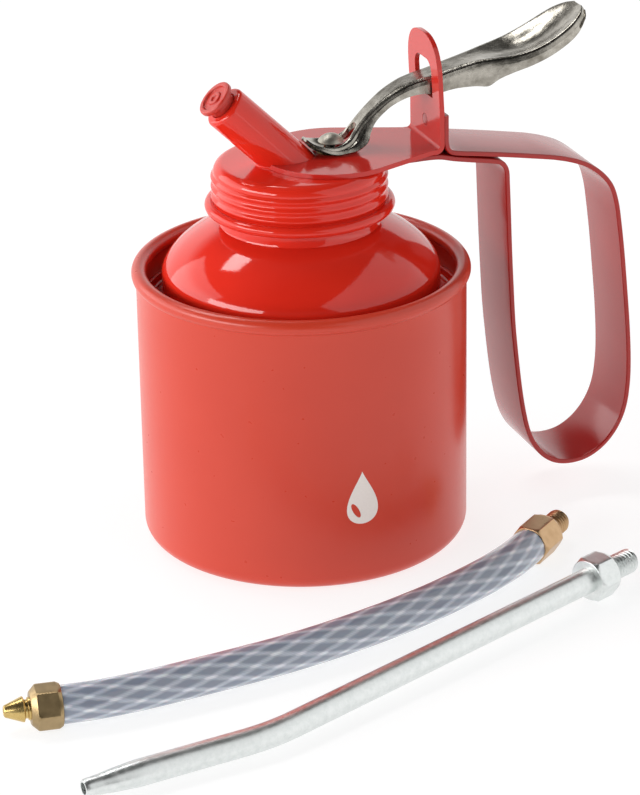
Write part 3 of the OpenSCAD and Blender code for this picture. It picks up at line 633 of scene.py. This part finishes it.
# The lever: 1 mm sheet steel pressed into a channel, dished at one end under the rod's head and
# spread into a thumb pad at the other, then nickel plated. Each station is along, up, half width
# of the web, half width at the flange's edge, flange depth and dish, in millimetres.
nickel = finish_for("barrel-plated nickel")
place = add(nickel, "ShaderNodeTexCoord")
haze = add(nickel, "ShaderNodeTexNoise", {"Scale": 300.0, "Detail": 5.0, "Roughness": 0.6},
           {"Vector": (place, "Object")})
drawn = add(nickel, "ShaderNodeMapping", {"Scale": (300.0, 2200.0, 300.0)},
            {"Vector": (place, "Object")})
scratch = add(nickel, "ShaderNodeTexNoise", {"Scale": 1.0, "Detail": 3.0}, {"Vector": (drawn, 0)})
worn = add(nickel, "ShaderNodeMapRange", {"From Min": 0.34, "From Max": 0.68},
           {"Value": (haze, "Fac")})
nickel_tone = add(nickel, "ShaderNodeMix", {
    "data_type": "RGBA", 6: linear("#858076"), 7: linear("#BFBAB0")}, {0: (worn, "Result")})
nickel_gloss = add(nickel, "ShaderNodeMapRange", {"To Min": 0.14, "To Max": 0.36},
                   {"Value": (haze, "Fac")})
dents = add(nickel, "ShaderNodeBump", {"Strength": 0.25, "Distance": 0.0004},
            {"Height": (haze, "Fac")})
scores = add(nickel, "ShaderNodeBump", {"Strength": 0.06, "Distance": 0.0001},
             {"Height": (scratch, "Fac"), "Normal": (dents, "Normal")})
nickel_metal = add(nickel, "ShaderNodeBsdfPrincipled", {"Metallic": 1.0}, {
    "Base Color": (nickel_tone, 2), "Roughness": (nickel_gloss, "Result"),
    "Normal": (scores, "Normal")})
add(nickel, "ShaderNodeOutputMaterial", links={"Surface": (nickel_metal, "BSDF")})

stations = curve(np.array([
    [1.6, 100.4, 1.3, 1.6, 0.35, 0.1], [2.9, 99.5, 2.9, 3.2, 0.5, 0.35],
    [4.6, 98.9, 4.0, 4.4, 0.8, 0.8], [6.4, 98.6, 4.5, 5.0, 1.3, 1.1],
    [8.2, 98.5, 4.6, 5.3, 1.6, 1.15], [10, 98.8, 4.3, 5.5, 1.8, 0.95],
    [11.8, 99.7, 3.7, 5.4, 2.7, 0.5], [13.2, 101.1, 3.1, 4.9, 3.4, 0.1],
    [14.6, 102.8, 2.8, 3.9, 3.1, 0], [16.5, 104.8, 2.8, 3.3, 2.6, 0],
    [19, 107, 3.0, 3.3, 2.4, 0], [22, 109.2, 3.3, 3.5, 2.5, 0],
    [26, 111.2, 3.7, 3.8, 2.9, 0], [30, 112.3, 4.0, 4.1, 3.5, 0],
    [33, 112.8, 4.3, 4.4, 4.25, 0], [37.5, 113.9, 4.5, 4.6, 4.7, 0],
    [42, 114.9, 4.8, 5.0, 5.6, 0.1], [45.6, 115.6, 5.3, 5.6, 6.5, 0.3],
    [48.6, 116, 6.3, 6.7, 5, 0.7], [52, 116.4, 7.4, 7.7, 3.9, 1.1],
    [56, 117.2, 8.2, 8.4, 3.4, 1.5], [60, 118.6, 8.5, 8.7, 3.2, 1.7],
    [63.5, 120.3, 8.4, 8.6, 3.1, 1.6], [66.5, 122, 8.0, 8.2, 2.9, 1.3],
    [69, 123.5, 7.0, 7.2, 2.4, 0.9], [71, 124.6, 5.2, 5.4, 1.8, 0.5],
    [72.3, 125.3, 2.6, 2.7, 1.1, 0.2]]), 6)


def channel_sections(w, e, d, s):
    """Half a channel's outside from the middle of its web, sunk by s, over a round shoulder to
    the flange's edge at half width e and depth d, mirrored and drawn as a smooth curve."""
    z, r = np.zeros_like(w), np.minimum(1.1, np.minimum(0.3 * w, 0.5 * d))
    x = np.stack([z, 0.35 * w, 0.64 * w, w - r, w - 0.28 * r, w, 0.55 * w + 0.45 * e, e], 1)
    y = np.stack([-s, -0.8 * s, -0.32 * s, -0.08 * r, -0.45 * r, -0.9 * r - 0.1 * d, -0.55 * d,
                  -d], 1)
    x, y = np.hstack([-x[:, :0:-1], x]), np.hstack([y[:, :0:-1], y])
    smooth = curve(np.stack([x, y], -1).transpose(1, 0, 2).reshape(15, -1), 5)
    return smooth.reshape(len(smooth), -1, 2).transpose(1, 0, 2)


def pressed_lever(st, sheet):
    """The channel's outside and, one sheet thickness in along its normal, its inside, set square
    to the lever's own line at each station."""
    outside = channel_sections(*st[:, 2:].T)
    way = unit(np.gradient(outside, axis=1))
    normal = np.stack([-way[..., 1], way[..., 0]], -1)
    gauge = np.minimum(sheet, 0.42 * st[:, 2])[:, None, None]
    section = np.concatenate([outside, (outside - gauge * normal)[:, ::-1]], 1)
    t = unit(np.gradient(st[:, :2], axis=0))
    along = st[:, 0, None] - t[:, 1, None] * section[..., 1]
    height = st[:, 1, None] + t[:, 0, None] * section[..., 1]
    return np.stack([along, section[..., 0], height], -1) * mm


lever = piece("pressed_lever", pressed_lever(stations, 0.95), nickel, "lever_body",
              ["lever"], ends=True, sharp=45)
# The slot for the rod's neck is punched through the dish before it is plated
slot_r, slot_run = 1.75, 4.6
slot_angle = np.linspace(0, 2 * np.pi, 48, endpoint=False)
slot_x = rod_x + slot_r * np.cos(slot_angle) + np.where(np.cos(slot_angle) > 0, slot_run, 0)
slot_y = slot_r * np.sin(slot_angle)
punch_grid = np.stack([np.stack([slot_x, slot_y, 0 * slot_x + z], -1) for z in (90, 102.5)]) * mm
punch = piece("punch", punch_grid, nickel, "lever_body", ends=True)
cut = lever.modifiers.new("cut", "BOOLEAN")
cut.object, cut.operation, cut.solver = punch, "DIFFERENCE", "EXACT"
seen = lever.evaluated_get(bpy.context.evaluated_depsgraph_get())
lever.modifiers.clear()
lever.data = bpy.data.meshes.new_from_object(seen)
bpy.data.objects.remove(punch)
lever.data.shade_smooth()
lever.data.set_sharp_from_angle(angle=np.radians(45))

# The pump rod's head: a turned steel button, plated with the lever, its round underside seated in
# the lever's dish.
satin_nickel = zinc_finish("satin nickel", "#C6C1B4", "#9A958A", 0.42)
button = np.vstack([arc(0, 104.6, 6.55, -90, -61, 12), arc(0, 96.95, 3.75, 32, 90, 18)])
piece("rod_button", turned(button, np.array([rod_x, 0, 0]) * mm, columns=64), satin_nickel,
      "plunger", ["rod_head"])


# The pump inside the can: a zinc-plated barrel and tubes, brass gland, foot and piston, a black
# rubber seal, ground steel rod and balls, and a gauze strainer. They show when the head is out.
pump_brass = brass_finish("turned brass, inside", "#D9B760", "#AD873C", 0.3)
ground = zinc_finish("ground steel", "#C6C7C8", "#A2A3A5", 0.16)


def rubber_finish(name, colour, grain):
    """Moulded nitrile rubber: nearly black, dull, with fine grain a third of a millimetre wide."""
    material = finish_for(name)
    place = add(material, "ShaderNodeTexCoord")
    fine = add(material, "ShaderNodeTexNoise", {"Scale": grain}, {"Vector": (place, "Object")})
    tone = add(material, "ShaderNodeMix", {
        "data_type": "RGBA", 6: linear(colour), 7: linear("#2C2A28")}, {0: (fine, "Fac")})
    relief = add(material, "ShaderNodeBump", {"Strength": 0.3, "Distance": 0.0001},
                 {"Height": (fine, "Fac")})
    body = add(material, "ShaderNodeBsdfPrincipled", {"Roughness": 0.65},
               {"Base Color": (tone, 2), "Normal": (relief, "Normal")})
    add(material, "ShaderNodeOutputMaterial", links={"Surface": (body, "BSDF")})
    return material


seal_rubber = rubber_finish("nitrile seal", "#1C1B1A", 3000.0)
# Woven brass gauze on the strainer: crossed wires drawn 3 mm apart, coarser than they are, so that
# they show. Between the wires the colour falls to a dark brown, which is painted shade in the
# openings of the weave.
gauze = finish_for("woven gauze")
place = add(gauze, "ShaderNodeTexCoord")
warp = add(gauze, "ShaderNodeTexWave", {"Scale": 100.0}, {"Vector": (place, "Object")})
weft = add(gauze, "ShaderNodeTexWave", {"Scale": 100.0, "bands_direction": "Y"},
           {"Vector": (place, "Object")})
weave = add(gauze, "ShaderNodeMath", {"operation": "MAXIMUM"},
            {0: (warp, "Fac"), 1: (weft, "Fac")})
gauze_relief = add(gauze, "ShaderNodeBump", {"Strength": 0.5, "Distance": 0.0002},
                   {"Height": (weave, 0)})
# Bright brass along the wires, dark brown in the openings between them: painted shade
wires_and_shaded_gaps = add(gauze, "ShaderNodeMix", {
    "data_type": "RGBA", 6: linear("#5E4C22"), 7: linear("#C6A75A")}, {0: (weave, 0)})
gauze_metal = add(gauze, "ShaderNodeBsdfPrincipled", {"Metallic": 1.0, "Roughness": 0.35},
                  {"Base Color": (wires_and_shaded_gaps, 2), "Normal": (gauze_relief, "Normal")})
add(gauze, "ShaderNodeOutputMaterial", links={"Surface": (gauze_metal, "BSDF")})
for names, finish in (
        (("pump_barrel", "suction_tube", "delivery_pipe"), zinc),
        (("rod_gland", "barrel_foot", "piston"), pump_brass),
        (("pump_rod", "inlet_ball", "delivery_ball"), ground),
        (("suction_strainer",), gauze),
        (("piston_seal", "neck_gasket"), seal_rubber)):
    for name in names:
        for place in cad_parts[name].material_slots:
            place.material = finish


# The return spring: 0.9 mm wire in eight turns round the rod, its end turns closed. It stands
# between the gland and the piston, and the piston presses it together against the gland.
wire = zinc_finish("spring wire", "#9C9D9F", "#7B7C7F", 0.3)
wire_r, coil_r, coil_low, coil_rise = 0.45, 4.3, 63.65, 24.4
around_wire = np.linspace(0, 2 * np.pi, 12, endpoint=False)
turns = np.linspace(0, 8, 8 * 36 + 1)
climb = np.clip((turns - 0.8) / 6.4, 0, 1)
coil = mm * np.stack([rod_x + coil_r * np.cos(2 * np.pi * turns),
                      coil_r * np.sin(2 * np.pi * turns), coil_low + coil_rise * climb], -1)
spring = piece("coil_spring", sweep(coil, [0, 0, 1], wire_r * mm * np.cos(around_wire),
                                    wire_r * mm * np.sin(around_wire)),
               wire, "pump_head", ["return_spring"], ends=True)
# At the plunger's full lift of 11.2 mm the spring keeps 14.1 of its 25.3 mm.
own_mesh(spring)


# The studio: a white table that glows a little, a pale room, a wide soft box to the left, a panel
# behind the object on that side, a broad pale panel to the right, and a soft light high behind.
floor_mesh = bpy.data.meshes.new("table")
floor_mesh.from_pydata([(-3, -3, 0), (3, -3, 0), (3, 3, 0), (-3, 3, 0)], [], [(0, 1, 2, 3)])
table = bpy.data.objects.new("table", floor_mesh)
bpy.context.scene.collection.objects.link(table)
paper = finish_for("white paper")
paper_grain = add(paper, "ShaderNodeTexNoise", {"Scale": 40.0})
paper_tone = add(paper, "ShaderNodeMix", {
    "data_type": "RGBA", 6: linear("#8E8E8E"), 7: linear("#929292")}, {0: (paper_grain, "Fac")})
paper_body = add(paper, "ShaderNodeBsdfPrincipled", {
    "Roughness": 0.9, "Emission Color": (1, 1, 1, 1), "Emission Strength": 0.78},
    {"Base Color": (paper_tone, 2)})
add(paper, "ShaderNodeOutputMaterial", links={"Surface": (paper_body, "BSDF")})
floor_mesh.materials.append(paper)

# The room is bright behind the object, dim behind the eye and overhead
room = bpy.data.worlds.new("room")
room.use_nodes = True
room.node_tree.nodes.clear()
sky = add(room, "ShaderNodeTexCoord")
behind = add(room, "ShaderNodeVectorMath", {"operation": "DOT_PRODUCT", 1: (-0.34, 0.94, 0)},
             {0: (sky, "Generated")})
high = add(room, "ShaderNodeSeparateXYZ", links={"Vector": (sky, "Generated")})
wall_light = add(room, "ShaderNodeMapRange", {
    "interpolation_type": "SMOOTHSTEP", "From Min": -0.25, "From Max": 0.35, "To Min": 0.1,
    "To Max": 1.15}, {"Value": (behind, "Value")})
ceiling = add(room, "ShaderNodeMapRange", {
    "interpolation_type": "SMOOTHSTEP", "From Min": 0.34, "From Max": 0.54, "To Min": 1.0,
    "To Max": 0.08}, {"Value": (high, "Z")})
glow = add(room, "ShaderNodeMath", {"operation": "MULTIPLY"},
           {0: (wall_light, "Result"), 1: (ceiling, "Result")})
sheen = add(room, "ShaderNodeBackground", {"Color": (1, 1, 1, 1)}, {"Strength": (glow, 0)})
add(room, "ShaderNodeOutputWorld", links={"Surface": (sheen, "Background")})
bpy.context.scene.world = room


def soft_light(name, place, towards, wide, high, watts):
    """A rectangular soft box aimed at a point."""
    lamp = bpy.data.lights.new(name, "AREA")
    lamp.shape, lamp.size, lamp.size_y, lamp.energy = "RECTANGLE", wide, high, watts
    thing = bpy.data.objects.new(name, lamp)
    bpy.context.scene.collection.objects.link(thing)
    z = unit(np.array(place, float) - np.array(towards, float))
    x = unit(np.cross([0, 0, 1.0], z)) if abs(z[2]) < 0.99 else np.array([1.0, 0, 0])
    thing.matrix_world = Matrix([[*x, 0], [*np.cross(z, x), 0], [*z, 0], [*place, 1]]).transposed()


aim = (0, 0, 0.06)
soft_light("left box", (-1.0, -0.25, 0.38), aim, 0.95, 0.3, 6.6)
soft_light("left panel", (-0.87, 0.62, 0.44), aim, 1.1, 0.8, 4.4)
soft_light("right panel", (0.68, -0.39, 0.47), aim, 2.0, 1.2, 7.2)
soft_light("top light", (-0.2, 0.62, 1.05), aim, 0.7, 0.22, 4)
bpy.context.scene.view_settings.view_transform = "Standard"
